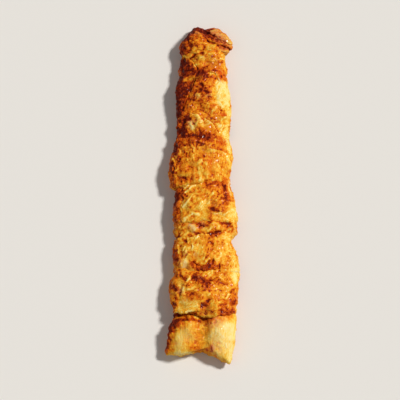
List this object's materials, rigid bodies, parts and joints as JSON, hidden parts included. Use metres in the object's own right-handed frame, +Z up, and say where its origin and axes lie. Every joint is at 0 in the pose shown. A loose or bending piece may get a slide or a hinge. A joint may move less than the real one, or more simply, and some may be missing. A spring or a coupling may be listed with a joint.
{
  "type": "chicken kebab",
  "caption": "Grilled saffron chicken kebab: boneless pieces pressed together in one long row, seared golden with charred ridges, without its skewer.",
  "frame": {"origin": "centre of the underside of the bounding box, on the surface that the kebab rests on", "axes": "+Y along the row towards its narrower far end, +X across the row to the right flank, +Z up"},
  "size_m": [0.0655, 0.301, 0.0293],
  "materials": {
    "golden_chicken": "moist seared crust, semi-gloss with melted butter",
    "charred_chicken": "browned and charred crust, semi-gloss",
    "pale_chicken": "moist pale cooked meat with fine fibres, semi-gloss"
  },
  "bodies": {
    "root": {"chicken_01_far_end": "charred_chicken", "chicken_02": "golden_chicken", "chicken_03": "golden_chicken", "chicken_04": "charred_chicken", "chicken_05": "golden_chicken", "chicken_06": "golden_chicken", "chicken_07": "golden_chicken", "chicken_08": "golden_chicken", "chicken_09": "golden_chicken", "chicken_10_near_end": "pale_chicken"}
  },
  "joints": []
}
